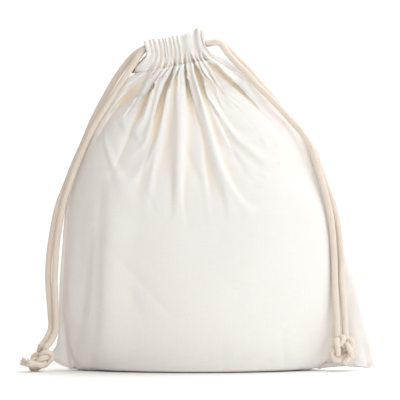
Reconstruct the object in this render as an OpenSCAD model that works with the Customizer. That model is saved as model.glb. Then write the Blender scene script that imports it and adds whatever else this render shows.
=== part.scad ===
// Plain cotton drawstring sack, filled and standing, its mouth drawn shut by two cords.
// Front is -Y, up is +Z, the floor is Z = 0 and the origin lies under the middle of the sack.

/* [Sack] */
// Width from one bottom corner to the other
sack_w = 282; // [200:2:360]
// Depth at the fullest place
sack_d = 120; // [90:2:150]
// Height of the gathering seam above the floor
neck_z = 265; // [200:1:330]
// Thickness of the cloth
cloth = 0.8; // [0.6:0.1:1.6]
// Rise of the left bottom corner off the floor
left_ear_lift = 9; // [2:1:16]
// Rise of the right bottom corner off the floor
right_ear_lift = 2; // [1:1:16]

/* [Neck] */
// Length of the gathered neck at the cords
neck_w = 50; // [48:1:76]
// Length of the neck at the gathering seam
neck_foot = 71; // [56:1:96]
// Offset of the neck to the left of the middle
neck_lean = 28; // [0:1:45]
// Tilt of the neck, its right end higher
neck_tilt = 10.5; // [0:0.5:15]
// Height of the casing that holds the cords
casing_h = 25; // [22:1:36]
// Gap of the mouth between the two casings
mouth_gap = 9; // [7:0.5:14]
// Height over which the casing spreads down to the gathering seam
skirt_h = 10; // [6:0.5:10.5]
// Wall of the casing round the cords
casing_wall = 1.2; // [0.8:0.1:2]
// Number of pleats gathered on each side
pleats = 9; // [5:1:11]
// Depth of one pleat
pleat_depth = 3; // [1:0.5:4]

/* [Cord] */
// Diameter of the braided cord
cord_d = 5.5; // [4:0.1:6.5]
// Space round the cord in its tunnel
cord_gap = 0.3; // [0.2:0.05:0.6]
// Space between the two cords in the tunnel
cord_space = 0.8; // [0.5:0.1:1.2]
// Slack of each cord at its far bend
cord_slack = 5; // [2:0.5:6]
// Space that lets each pair of tails turn at its exit
turn_gap = 0.3; // [0.2:0.05:0.5]

/* [Knot] */
// Distance across the knot's wraps
knot_w = 24; // [20:0.5:30]
// Length of the left cut ends past the knot
left_end = 6; // [3:0.5:12]
// Length of the right cut ends past the knot
right_end = 6.5; // [4:0.5:14]

/* [Seam] */
// Width of the seam allowance inside
seam_w = 9; // [5:0.5:14]
// Thickness of the two overlocked layers
seam_t = 1.6; // [1:0.1:2.4]
// Thickness of the stitching thread
thread = 0.5; // [0.3:0.1:0.8]

/* [Hidden] */
$fn = 48;
half_w = sack_w / 2;
half_d = sack_d / 2 - cloth;
cord_r = cord_d / 2;
bore_r = cord_r + cord_gap;
strand_y = mouth_gap / 2 + casing_wall + bore_r;
neck_r = strand_y + bore_r + casing_wall;
run = neck_w / 2 - neck_r;
tunnel_z = casing_h - casing_wall - bore_r - (cord_d + cord_space) / 2;
right_z = tunnel_z - (cord_d + cord_space) / 2;
left_z = tunnel_z + (cord_d + cord_space) / 2;
low_z = min(left_z, right_z);
high_z = max(left_z, right_z);
pivot_x = neck_w / 2 + cord_r + 0.4;
loop_end = pivot_x - cord_r - turn_gap;
bunch = neck_r - mouth_gap / 2;
stitch_z = 3;
stitch_w = neck_foot - (neck_foot - neck_w) * stitch_z / skirt_h;
knot_r = (knot_w / 2 - 0.6) / 4;

// Shape of the filled sack by height: height, left edge, left and right of the filled body, right edge,
// depth, how pointed the sides are and how much of the neck's tilt is taken up
SECTIONS = [
  [0.012, -1.000, -0.858, 0.660, 1.000, 0.78, 0.80, 0],
  [0.060, -0.965, -0.893, 0.709, 0.982, 0.84, 0.78, 0],
  [0.150, -0.943, -0.915, 0.738, 0.932, 0.91, 0.72, 0],
  [0.270, -0.936, -0.911, 0.745, 0.880, 0.97, 0.66, 0],
  [0.400, -0.926, -0.901, 0.738, 0.800, 1.00, 0.62, 0],
  [0.530, -0.904, -0.879, 0.699, 0.727, 0.97, 0.60, 0],
  [0.650, -0.844, -0.819, 0.592, 0.617, 0.87, 0.58, 0.02],
  [0.770, -0.745, -0.720, 0.480, 0.505, 0.72, 0.56, 0.15],
  [0.855, -0.672, -0.647, 0.345, 0.370, 0.59, 0.54, 0.45],
  [0.943, -0.590, -0.565, 0.170, 0.195, 0.38, 0.50, 0.80],
  [1.000, -(neck_lean + neck_foot / 2) / half_w, -(neck_lean + neck_foot / 2 - 3.5) / half_w,
    (neck_foot / 2 - neck_lean - 3.5) / half_w, (neck_foot / 2 - neck_lean) / half_w,
    mouth_gap / 2 / half_d, 0.40, 1]
];
// Main folds below the gathers: place across the body at the neck and at the foot of the fold, depth, length
FRONT_FOLDS = [
  [-0.83, -0.92, 7, 95],
  [-0.62, -0.74, 8, 125],
  [-0.20, -0.42, 9, 130],
  [0.18, 0.08, 8, 145],
  [0.47, 0.37, 9, 110],
  [0.83, 0.93, 6, 95]
];
BACK_FOLDS = [
  [-0.85, -0.92, 6, 80],
  [-0.61, -0.71, 8, 110],
  [-0.38, -0.42, 9, 130],
  [-0.05, -0.08, 8, 95],
  [0.20, 0.15, 9, 135],
  [0.49, 0.47, 8, 105],
  [0.74, 0.77, 8, 90]
];
fold_half = 0.17;
fold_slope = 1.15;
FLAT_ROWS = [0, 0.5, 0.9];
HEIGHTS = [0.012, 0.035, 0.06, 0.1, 0.15, 0.21, 0.27, 0.335, 0.4, 0.465, 0.53, 0.57, 0.61, 0.65, 0.69, 0.73, 0.77,
  0.81, 0.855, 0.9, 0.943, 0.975, 1];
BODY_COLS = 50;

function step(v) = let(s = min(1, max(0, v))) s * s * (3 - 2 * s);
function slope(i, c) = let(n = len(SECTIONS) - 1, a = max(0, i - 1), b = min(n, i + 1))
  (SECTIONS[b][c] - SECTIONS[a][c]) / (SECTIONS[b][0] - SECTIONS[a][0]);
function span(h, i = 0) = i >= len(SECTIONS) - 2 || h <= SECTIONS[i + 1][0] ? i : span(h, i + 1);
function shape(h, c) = let(i = span(h), d = SECTIONS[i + 1][0] - SECTIONS[i][0], s = (h - SECTIONS[i][0]) / d)
  SECTIONS[i][c] * (2 * s * s * s - 3 * s * s + 1) + slope(i, c) * d * (s * s * s - 2 * s * s + s)
  + SECTIONS[i + 1][c] * (3 * s * s - 2 * s * s * s) + slope(i + 1, c) * d * (s * s * s - s * s);
function full(u, k, h) = pow(max(0, 1 - pow(abs(u), 2.3 + 5 * step((h - 0.85) / 0.15))), k);
function pleat(u, h, turn) = pleat_depth * step((h - 0.82) / 0.18) * (1 - pow(abs(u), 6))
  * (0.5 + 0.5 * cos(180 * pleats * (u + 1) + turn));
function valley(u, h, f) = let(t = (1 - h) * neck_z * fold_slope / f[3], off = abs(u - f[0] - (f[1] - f[0]) * t))
  t >= 1 ? 0 : f[2] * (1 - t) * pow(max(0, 1 - off / fold_half), 1.5);
function fold(u, h, list) = (1 - step((h - 0.9) / 0.1)) * max([0, for (f = list) valley(u, h, f)]);

// One point of a panel: u runs across the body, side -1 or 1 with w 0..1 across the flat wing beyond it
function panel_point(h, flat, u, w, out, turn, folds) = let(
  xl = half_w * shape(h, 1), bl = half_w * shape(h, 2), br = half_w * shape(h, 3), xr = half_w * shape(h, 4),
  grow = out ? cloth : 0,
  edge = u < 0 ? bl - grow : br + grow,
  x = w > 0 ? edge + w * ((u < 0 ? xl : xr) - edge) : (bl + br) / 2 + ((br - bl) / 2 + grow) * u,
  low = flat < 1 ? 1 : 1 - step(h / 0.12),
  lift = w * low * (u < 0 ? left_ear_lift : right_ear_lift),
  foot = flat < 1 ? flat * 1.6 * pow(abs(u), 8) : (h - 0.012) * neck_z + 0.012 * neck_z,
  z = foot + lift + (out ? 0 : low * cloth),
  depth = half_d * shape(h, 5) * flat,
  wall = cloth + (bunch - cloth) * step((h - 0.82) / 0.18),
  k = shape(h, 6),
  in = depth - (w > 0 ? 0 : fold(u, h, folds)),
  y = out ? (flat == 0 ? 0 : cloth) + (in + (flat == 0 ? 0 : wall - cloth + pleat(u, h, turn))) * full(u, k, h)
    : in * full(u, k, h),
  tilt = neck_tilt * shape(h, 7),
  mid = half_w * (shape(h, 1) + shape(h, 4)) / 2)
  [mid + (x - mid) * cos(tilt), y, z + (x - mid) * sin(tilt)];

function column(i) = i < 2 ? [-1, 1 - i / 2] : i > BODY_COLS + 2 ? [1, (i - BODY_COLS - 2) / 2]
  : let(s = 2 * (i - 2) / BODY_COLS - 1) [0.55 * sin(90 * s) + 0.45 * s, 0];
function row(r) = r < len(FLAT_ROWS) ? [HEIGHTS[0], FLAT_ROWS[r]] : [HEIGHTS[r - len(FLAT_ROWS)], 1];

module panel(sign, turn, folds) {
  rows = len(FLAT_ROWS) + len(HEIGHTS);
  cols = BODY_COLS + 5;
  n = rows * cols;
  points = [for (out = [true, false]) for (r = [0:rows - 1]) for (c = [0:cols - 1])
    let(p = panel_point(row(r)[0], row(r)[1], column(c)[0], column(c)[1], out, turn, folds)) [p[0], sign * p[1], p[2]]];
  skin = [for (r = [0:rows - 2]) for (c = [0:cols - 2]) let(a = r * cols + c)
    each [[a, a + cols, a + 1], [a + 1, a + cols, a + cols + 1],
      [n + a, n + a + 1, n + a + cols], [n + a + 1, n + a + cols + 1, n + a + cols]]];
  ends = [for (r = [0:rows - 2]) let(a = r * cols, b = a + cols - 1)
    each [[a, n + a, a + cols], [a + cols, n + a, n + a + cols],
      [b, b + cols, n + b], [b + cols, n + b + cols, n + b]]];
  rims = [for (c = [0:cols - 2]) let(b = (rows - 1) * cols + c)
    each [[c, c + 1, n + c], [c + 1, n + c + 1, n + c], [b, n + b, b + 1], [b + 1, n + b, n + b + 1]]];
  faces = concat(skin, ends, rims);
  polyhedron(points, sign > 0 ? [for (f = faces) [f[0], f[2], f[1]]] : faces);
}

module front_panel() color([0.93, 0.90, 0.84]) panel(-1, 0, FRONT_FOLDS);

module back_panel() color([0.90, 0.87, 0.81]) panel(1, 70, BACK_FOLDS);

module at_neck() translate([-neck_lean, 0, neck_z]) rotate([0, -neck_tilt, 0]) children();

function neck_edge(s) = pow(max(0, 1 - pow(abs(s), 6)), 0.33);
function neck_outline(w, grow) = [for (i = [0:pleats * 8]) let(s = i / (pleats * 4) - 1) [s * (w / 2 + grow),
  mouth_gap / 2 + (neck_r - mouth_gap / 2 + grow + pleat_depth * (0.5 + 0.5 * cos(180 * pleats * (s + 1))))
  * neck_edge(s)]];

module track(r, len_half) {
  square([2 * len_half, 2 * r], center = true);
  for (s = [-1, 1]) translate([s * len_half, 0]) circle(r);
}

module cord_tunnel() {
  translate([0, 0, low_z - bore_r]) linear_extrude(high_z - low_z + 2 * bore_r) difference() {
    track(strand_y + bore_r, run);
    track(strand_y - bore_r, run - cord_slack);
  }
  for (s = [-1, 1]) {
    translate([-run, s * strand_y, left_z]) rotate([0, -90, 0]) cylinder(r = bore_r, h = neck_w);
    translate([run, s * strand_y, right_z]) rotate([0, 90, 0]) cylinder(r = bore_r, h = neck_w);
  }
}

// The casing seen from the front: spread at the gathering seam, straight along the cords
module casing_front() {
  f = neck_foot / 2;
  w = neck_w / 2;
  polygon([[-f, 0], [f, 0], [w, skirt_h], [w, casing_h], [-w, casing_h], [-w, skirt_h]]);
}

module casing(sign) at_neck() difference() {
  intersection() {
    mirror([0, sign < 0 ? 1 : 0, 0]) linear_extrude(casing_h) polygon(neck_outline(neck_foot, 0));
    rotate([90, 0, 0]) linear_extrude(6 * neck_r, center = true) casing_front();
  }
  cord_tunnel();
}

module front_casing() color([0.95, 0.92, 0.86]) casing(-1);

module back_casing() color([0.91, 0.88, 0.82]) casing(1);

module casing_stitch(sign) at_neck() translate([0, 0, stitch_z]) mirror([0, sign < 0 ? 1 : 0, 0])
  linear_extrude(thread) intersection() {
    difference() {
      polygon(neck_outline(neck_foot, thread));
      polygon(neck_outline(neck_foot, 0));
    }
    square([stitch_w, 6 * neck_r], center = true);
  }

module front_casing_stitch() color([0.98, 0.97, 0.93]) casing_stitch(-1);

module back_casing_stitch() color([0.97, 0.96, 0.92]) casing_stitch(1);

// Overlocked allowance that stands inward from a side seam
module side_seam(side) {
  levels = [0.1, 0.15, 0.27, 0.4, 0.53, 0.65, 0.77, 0.855];
  pts = [for (h = levels) for (q = [[1, -1], [1, 1], [seam_w, 1], [seam_w, -1]])
    let(p = panel_point(h, 1, side, 0, false, 0, [])) [p[0] - side * q[0], q[1] * seam_t / 2, p[2]]];
  walls = [for (i = [0:len(levels) - 2]) for (j = [0:3]) let(a = 4 * i + j, b = 4 * i + (j + 1) % 4)
    each [[a, a + 4, b], [b, a + 4, b + 4]]];
  last = 4 * len(levels) - 4;
  caps = [[0, 1, 2], [0, 2, 3], [last, last + 2, last + 1], [last, last + 3, last + 2]];
  faces = concat(walls, caps);
  polyhedron(pts, side < 0 ? faces : [for (f = faces) [f[0], f[2], f[1]]]);
}

module left_side_seam() color([0.86, 0.82, 0.75]) side_seam(-1);

module right_side_seam() color([0.86, 0.82, 0.75]) side_seam(1);

module bottom_seam() color([0.84, 0.80, 0.73]) {
  x0 = half_w * SECTIONS[0][2] + 3 * seam_w;
  x1 = half_w * SECTIONS[0][3] - 3 * seam_w;
  translate([x0, -seam_t / 2, cloth]) cube([x1 - x0, seam_t, seam_w]);
}

// Cord loop held in the tunnel: two straight runs joined by the bend at the far end
module cord_loop(side, z) at_neck() mirror([side < 0 ? 0 : 1, 0, 0]) translate([0, 0, z]) {
  for (s = [-1, 1]) translate([-loop_end, s * strand_y, 0]) rotate([0, 90, 0]) cylinder(r = cord_r, h = loop_end + run);
  translate([run, 0, 0]) rotate([0, 0, -90]) rotate_extrude(angle = 180) translate([strand_y, 0]) circle(cord_r);
}

module left_cord_loop() color([0.92, 0.87, 0.80]) cord_loop(-1, left_z);

module right_cord_loop() color([0.90, 0.85, 0.78]) cord_loop(1, right_z);

function neck_point(x, y, z) = [-neck_lean + x * cos(neck_tilt) - z * sin(neck_tilt), y,
  neck_z + x * sin(neck_tilt) + z * cos(neck_tilt)];

// Routes of the four hanging tails, from the exit to the knot
LEFT_FRONT = [[-66, -9, 275], [-74, -10, 263], [-81, -10, 250], [-93, -9, 231], [-106, -8, 208], [-122, -7, 174],
  [-131, -7, 142], [-136, -7, 112], [-138, -8, 80], [-137, -11, 52], [-138, -15, 36],
  [-142, -20, 26], [-147, -23, 20]];
LEFT_BACK = [[-68, 8, 276], [-77, 8, 264], [-85, 6, 250], [-96, 3, 232], [-107, 1, 209], [-124, 0, 174],
  [-135, 0, 141], [-142, -1, 109], [-145, -2, 80], [-143, -5, 52], [-143, -10, 38],
  [-147, -15, 28], [-151, -17, 21]];
RIGHT_FRONT = [[8, -10, 284], [24, -11, 270], [46, -11, 247], [66, -11, 222], [82, -10, 195], [94, -11, 165],
  [102, -12, 135], [105, -13, 105], [106, -13, 75], [107, -15, 52], [108, -18, 29]];
RIGHT_BACK = [[9, 8, 285], [25, 7, 271], [47, 3, 248], [67, 0, 224], [84, -2, 197], [97, -4, 167],
  [107, -6, 136], [111, -7, 105], [112, -8, 75], [114, -11, 52], [115, -18, 27]];
LEFT_KNOT = [-153, -22, 12];
RIGHT_KNOT = [112, -19, 19];

function unit(v) = v / norm(v);
function bend(p, s) = let(n = len(p) - 1, i = min(n - 1, floor(s)), t = s - i,
  a = p[max(0, i - 1)], b = p[i], c = p[i + 1], d = p[min(n, i + 2)])
  0.5 * (2 * b + (c - a) * t + (2 * a - 5 * b + 4 * c - d) * t * t + (3 * b - a - 3 * c + d) * t * t * t);

// Round cord along a route, with a half ball at its start
module cord(route) {
  sides = 10;
  n = len(route) - 1;
  line = [for (i = [0:2 * n]) bend(route, i / 2)];
  dir = [for (i = [0:2 * n]) unit(line[min(2 * n, i + 1)] - line[max(0, i - 1)])];
  ball = [for (a = [80, 50, 25]) [line[0] - dir[0] * cord_r * sin(a), dir[0], cord_r * cos(a)]];
  rings = concat(ball, [for (i = [0:2 * n]) [line[i], dir[i], cord_r]]);
  pts = [for (g = rings) let(s = unit(cross(g[1], [0, 1, 0])), b = cross(s, g[1]))
    for (j = [0:sides - 1]) g[0] + g[2] * (s * cos(36 * j) + b * sin(36 * j))];
  m = len(rings);
  walls = [for (i = [0:m - 2]) for (j = [0:sides - 1]) let(a = i * sides + j, b = i * sides + (j + 1) % sides)
    each [[a, b, a + sides], [b, b + sides, a + sides]]];
  caps = [for (j = [1:sides - 2]) each [[0, j + 1, j], [(m - 1) * sides, (m - 1) * sides + j, (m - 1) * sides + j + 1]]];
  polyhedron(pts, concat(walls, caps));
}

module left_front_tail() color([0.92, 0.87, 0.80])
  cord(concat([neck_point(-pivot_x, -strand_y, left_z)], LEFT_FRONT));

module left_back_tail() color([0.90, 0.85, 0.78])
  cord(concat([neck_point(-pivot_x, strand_y, left_z)], LEFT_BACK));

module right_front_tail() color([0.92, 0.87, 0.80])
  cord(concat([neck_point(pivot_x, -strand_y, right_z)], RIGHT_FRONT));

module right_back_tail() color([0.90, 0.85, 0.78])
  cord(concat([neck_point(pivot_x, strand_y, right_z)], RIGHT_BACK));

// Overhand knot that ties both strands of a cord together, its doubled cord drawn as one thick round
function knot_line(a) = let(out = 2 * knot_r + 0.4 + (knot_r + 0.2) * cos(3 * a))
  [out * cos(2 * a), (knot_r + 0.2) * sin(3 * a), out * sin(2 * a)];

module knot() {
  sides = 8;
  turns = 40;
  line = [for (i = [0:turns - 1]) knot_line(360 * i / turns)];
  pts = [for (i = [0:turns - 1]) let(d = unit(line[(i + 1) % turns] - line[(i + turns - 1) % turns]),
    s = unit(cross(d, [0, 1, 0])), b = cross(s, d)) for (j = [0:sides - 1])
    line[i] + knot_r * (s * cos(45 * j) + b * sin(45 * j))];
  polyhedron(pts, [for (i = [0:turns - 1]) for (j = [0:sides - 1]) let(a = i * sides + j,
    b = i * sides + (j + 1) % sides, c = (a + sides) % (turns * sides), d = (b + sides) % (turns * sides))
    each [[a, b, c], [b, d, c]]]);
}

module left_knot() color([0.91, 0.86, 0.79]) translate(LEFT_KNOT) rotate([0, 50, 0]) knot();

module right_knot() color([0.91, 0.86, 0.79]) translate(RIGHT_KNOT) knot();

module cut_ends(reach) for (s = [-1, 1]) translate([s * cord_d * 0.55, 0, 0]) rotate([0, 180 + s * 4, 0])
  cylinder(r = cord_r, h = knot_w / 2 + reach);

module left_cord_ends() color([0.94, 0.89, 0.83]) translate(LEFT_KNOT) rotate([0, 80, 0]) cut_ends(left_end);

module right_cord_ends() color([0.94, 0.89, 0.83]) translate(RIGHT_KNOT) cut_ends(right_end);

front_panel();
back_panel();
front_casing();
back_casing();
front_casing_stitch();
back_casing_stitch();
left_side_seam();
right_side_seam();
bottom_seam();
left_cord_loop();
right_cord_loop();
left_front_tail();
left_back_tail();
right_front_tail();
right_back_tail();
left_knot();
right_knot();
left_cord_ends();
right_cord_ends();
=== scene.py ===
# Plain cotton drawstring sack, filled and standing, its mouth drawn shut by two braided cords.
# Front is -Y, up is +Z, the floor is Z = 0. Objects are in metres; shapes are worked out in millimetres.
import math

import bpy
import numpy as np
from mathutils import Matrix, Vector, noise
from mathutils.bvhtree import BVHTree


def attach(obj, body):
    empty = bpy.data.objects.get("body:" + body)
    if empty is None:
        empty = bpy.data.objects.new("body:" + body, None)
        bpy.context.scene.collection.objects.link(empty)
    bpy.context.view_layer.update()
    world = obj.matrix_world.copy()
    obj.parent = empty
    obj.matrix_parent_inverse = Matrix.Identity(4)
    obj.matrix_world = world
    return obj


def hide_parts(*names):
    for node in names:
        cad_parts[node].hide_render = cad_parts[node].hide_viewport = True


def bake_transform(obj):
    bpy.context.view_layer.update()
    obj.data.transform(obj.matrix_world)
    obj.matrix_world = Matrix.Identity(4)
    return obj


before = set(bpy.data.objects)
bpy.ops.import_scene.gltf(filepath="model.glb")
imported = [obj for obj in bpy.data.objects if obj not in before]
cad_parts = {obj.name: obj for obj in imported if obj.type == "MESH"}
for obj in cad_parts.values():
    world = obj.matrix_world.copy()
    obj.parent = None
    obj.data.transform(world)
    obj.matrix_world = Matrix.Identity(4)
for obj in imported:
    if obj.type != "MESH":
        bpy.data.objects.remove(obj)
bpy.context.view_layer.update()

# Camera
# It looks level at the front of the sack from three metres away, at the height of its middle.
LOOK_AT = (-0.011, 0.0, 0.148)
CAMERA_DISTANCE = 3.0
CAMERA_RISE = math.radians(0.5)
FIELD_WIDTH = 0.348
SENSOR_WIDTH = 36


def linked(name, data):
    """A new object in the scene."""
    obj = bpy.data.objects.new(name, data)
    bpy.context.collection.objects.link(obj)
    return obj


camera = linked("camera", bpy.data.cameras.new("camera"))
camera.location = (LOOK_AT[0], -CAMERA_DISTANCE * math.cos(CAMERA_RISE),
                   LOOK_AT[2] + CAMERA_DISTANCE * math.sin(CAMERA_RISE))
camera.rotation_euler = (math.pi / 2 - CAMERA_RISE, 0, 0)
camera.data.sensor_width = SENSOR_WIDTH
camera.data.lens = SENSOR_WIDTH * CAMERA_DISTANCE / FIELD_WIDTH
bpy.context.scene.camera = camera

# Cord tails
# Round braided cotton cord, 5.5 mm thick. Both ends of each cord leave the casing at one side of the neck,
# hang down along the sack and are tied together at the bottom.
MM = 0.001
CORD_D = 5.5
CORD_COLOUR = (0.80, 0.715, 0.63, 1)
# Painted shade: the brown-grey laid into the hollows between the braid's strands
CORD_GAP_SHADE_COLOUR = (0.56, 0.45, 0.35, 1)
BRAID_STRANDS = 8
BRAID_PITCH = 27.0
BRAID_SIDES = 36
BRAID_STEP = 0.6
BRAID_FLOOR, BRAID_RELIEF = 0.93, 0.10

NECK = np.array([-28.0, 0, 265])
NECK_TILT = math.radians(10.5)
NECK_ALONG = np.array([math.cos(NECK_TILT), 0, math.sin(NECK_TILT)])
NECK_UP = np.array([-math.sin(NECK_TILT), 0, math.cos(NECK_TILT)])
# How far the strands lie from the middle of the neck, to the front or back, and where they leave the casing
STRAND_OUT, EXIT_ALONG = 8.75, 28.15
# Of the left cord, -1, and the right one, 1: height in the casing, and where its strands bend down to hang
CORD_UP = {-1: 20.75, 1: 14.45}
CORD_BEND = {-1: 22.0, 1: 28.15}
# How far inside the bend the tails start and the loops end, and the length over which a tail starts to swing
TAIL_INSIDE, LOOP_INSIDE = 3.4, 3.5


def neck_point(along, out, up):
    """A point given along the gathered neck, out from its middle and up from the gathering seam."""
    return NECK + along * NECK_ALONG + up * NECK_UP + np.array([0, out, 0])


LEFT_FRONT = [(-59, -10, 279), (-64, -12, 273), (-69, -13, 265), (-75, -14, 256), (-81, -15, 247),
              (-87, -15, 237), (-95, -12, 225), (-104, -7, 210), (-110, -6, 198), (-117, -6, 181),
              (-124, -7, 162), (-130, -7, 142), (-135, -7, 112), (-137, -8, 80), (-136, -11, 52),
              (-136, -15, 36), (-140, -20, 26), (-145, -23, 20)]
LEFT_BACK = [(-62, 8, 279), (-71, 9, 272), (-79, 9, 262), (-87, 10, 250), (-96, 9, 234), (-105, 7, 216),
             (-112, 6, 199), (-120, 4, 181), (-128, 2, 160), (-135, 0, 141), (-141, -1, 109),
             (-143, -2, 80), (-141, -5, 52), (-140, -10, 38), (-144, -15, 28), (-149, -17, 21)]
RIGHT_FRONT = [(6, -10, 284), (14, -11, 274), (21, -12, 266), (29, -12, 258), (41, -12, 245),
               (54, -12, 232), (67, -12, 218), (79, -12, 204), (86, -12, 191), (90, -12, 178),
               (95, -11, 163), (102, -12, 135), (105, -13, 105), (106, -13, 75), (107, -15, 52),
               (108, -18, 29)]
RIGHT_BACK = [(7, 8, 285), (15, 8, 278), (22, 8, 271), (30, 7, 263), (42, 6, 249), (55, 4, 234),
              (67, 2, 219), (79, 1, 205), (88, -1, 191), (93, -3, 177), (98, -4, 163), (107, -6, 136),
              (111, -7, 105), (112, -8, 75), (114, -11, 52), (115, -18, 27)]
LEFT_KNOT = np.array([-151.0, -22, 12])
RIGHT_KNOT = np.array([112.0, -19, 19])


def run_along(points):
    """How far along a line each of its points lies."""
    return np.r_[0, np.cumsum(np.linalg.norm(np.diff(points, axis=0), axis=1))]


def evenly(points, count):
    """As many points as asked for, evenly spaced along a line."""
    run = run_along(points)
    at = np.linspace(0, run[-1], count)
    return np.stack([np.interp(at, run, points[:, k]) for k in range(3)], 1)


def smooth_line(points, step):
    """Points step apart on the smooth line through the given points."""
    p = np.array(points, float)
    n = len(p) - 1
    t = np.linspace(0, 1, 60, endpoint=False)[:, None]
    fine = []
    for i in range(n):
        a, b, c, d = p[max(0, i - 1)], p[i], p[i + 1], p[min(n, i + 2)]
        fine.append(0.5 * (2 * b + (c - a) * t + (2 * a - 5 * b + 4 * c - d) * t**2
                           + (3 * b - a - 3 * c + d) * t**3))
    fine = np.vstack(fine + [p[-1:]])
    return evenly(fine, max(2, round(run_along(fine)[-1] / step) + 1))


def new_mesh(name, points, faces, edges=()):
    mesh = bpy.data.meshes.new(name)
    mesh.from_pydata(points, edges, faces)
    return mesh


def add_object(name, verts, faces, material, uv, shade, attribute):
    """A mesh object from points in millimetres, with its map and one value per point for its colour."""
    mesh = new_mesh(name, (np.asarray(verts) * MM).tolist(), faces)
    mesh.polygons.foreach_set("use_smooth", np.ones(len(mesh.polygons), bool))
    mesh.uv_layers.new(name="cut").data.foreach_set("uv", np.asarray(uv, np.float32).ravel())
    mesh.attributes.new(attribute, "FLOAT", "POINT").data.foreach_set("value", shade.astype(np.float32))
    mesh.materials.append(material)
    mesh.update()
    return linked(name, mesh)


def set_inputs(node, values):
    """Gives a node's inputs their values, by name or number."""
    for socket, value in values.items():
        node.inputs[socket].default_value = value


def new_material(name, roughness, sheen):
    material = bpy.data.materials.new(name)
    material.use_nodes = True
    shader = material.node_tree.nodes["Principled BSDF"]
    set_inputs(shader, {"Roughness": roughness, "Specular IOR Level": 0.2, "Sheen Weight": sheen,
                        "Sheen Roughness": 0.5})
    return material, material.node_tree, shader


def noise_node(tree, source, scale, detail=2.0):
    node = tree.nodes.new("ShaderNodeTexNoise")
    set_inputs(node, {"Scale": scale, "Detail": detail})
    tree.links.new(source, node.inputs["Vector"])
    return node.outputs["Fac"]


def mix_node(tree, factor, first, second):
    node = tree.nodes.new("ShaderNodeMix")
    node.data_type = "RGBA"
    for socket, value in ((node.inputs[0], factor), (node.inputs[6], first), (node.inputs[7], second)):
        if isinstance(value, bpy.types.NodeSocket):
            tree.links.new(value, socket)
        else:
            socket.default_value = value
    return node.outputs[2]


def range_node(tree, source, low, high, to_low=0.0, to_high=1.0):
    node = tree.nodes.new("ShaderNodeMapRange")
    set_inputs(node, {"From Min": low, "From Max": high, "To Min": to_low, "To Max": to_high})
    tree.links.new(source, node.inputs["Value"])
    return node.outputs["Result"]


def drawn_out_noise(tree, source, stretch, detail):
    """Noise drawn out along the fibres or threads."""
    mapping = tree.nodes.new("ShaderNodeMapping")
    set_inputs(mapping, {"Scale": stretch})
    tree.links.new(source, mapping.inputs["Vector"])
    return noise_node(tree, mapping.outputs["Vector"], 1.0, detail)


def add_bump(tree, shader, height, strength, distance):
    bump = tree.nodes.new("ShaderNodeBump")
    set_inputs(bump, {"Strength": strength, "Distance": distance})
    tree.links.new(height, bump.inputs["Height"])
    tree.links.new(bump.outputs["Normal"], shader.inputs["Normal"])


def point_value(tree, name):
    node = tree.nodes.new("ShaderNodeAttribute")
    node.attribute_name = name
    return node.outputs["Fac"]


def cut_map(tree):
    node = tree.nodes.new("ShaderNodeUVMap")
    node.uv_map = "cut"
    return node.outputs["UV"]


def cotton_cord():
    material, tree, shader = new_material("cotton_cord", 0.92, 0.35)
    place = tree.nodes.new("ShaderNodeTexCoord").outputs["Object"]
    fibre = drawn_out_noise(tree, cut_map(tree), (40, 900, 1), 4)
    # Painted shade: the cord turns brown-grey where its braid stands low, in the hollows between strands
    gap = range_node(tree, point_value(tree, "braid_height"), 0.15, 0.75)
    colour = mix_node(tree, gap, CORD_GAP_SHADE_COLOUR, CORD_COLOUR)
    tone = range_node(tree, noise_node(tree, place, 60), 0.3, 0.7, 0.0, 0.35)
    colour = mix_node(tree, tone, colour, (0.85, 0.78, 0.70, 1))
    tree.links.new(colour, shader.inputs["Base Color"])
    add_bump(tree, shader, fibre, 0.5, 0.0002)
    return material


CORD = cotton_cord()


def directions(line):
    """The direction of a line at each of its points."""
    ahead = np.gradient(line, axis=0)
    return ahead / np.linalg.norm(ahead, axis=1)[:, None]


def carried(ahead, side):
    """A sideways direction that is carried along a line without a twist."""
    sides = []
    for d in ahead:
        side = side - d * side.dot(d)
        side = side / np.linalg.norm(side)
        sides.append(side)
    return np.array(sides)


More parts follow.
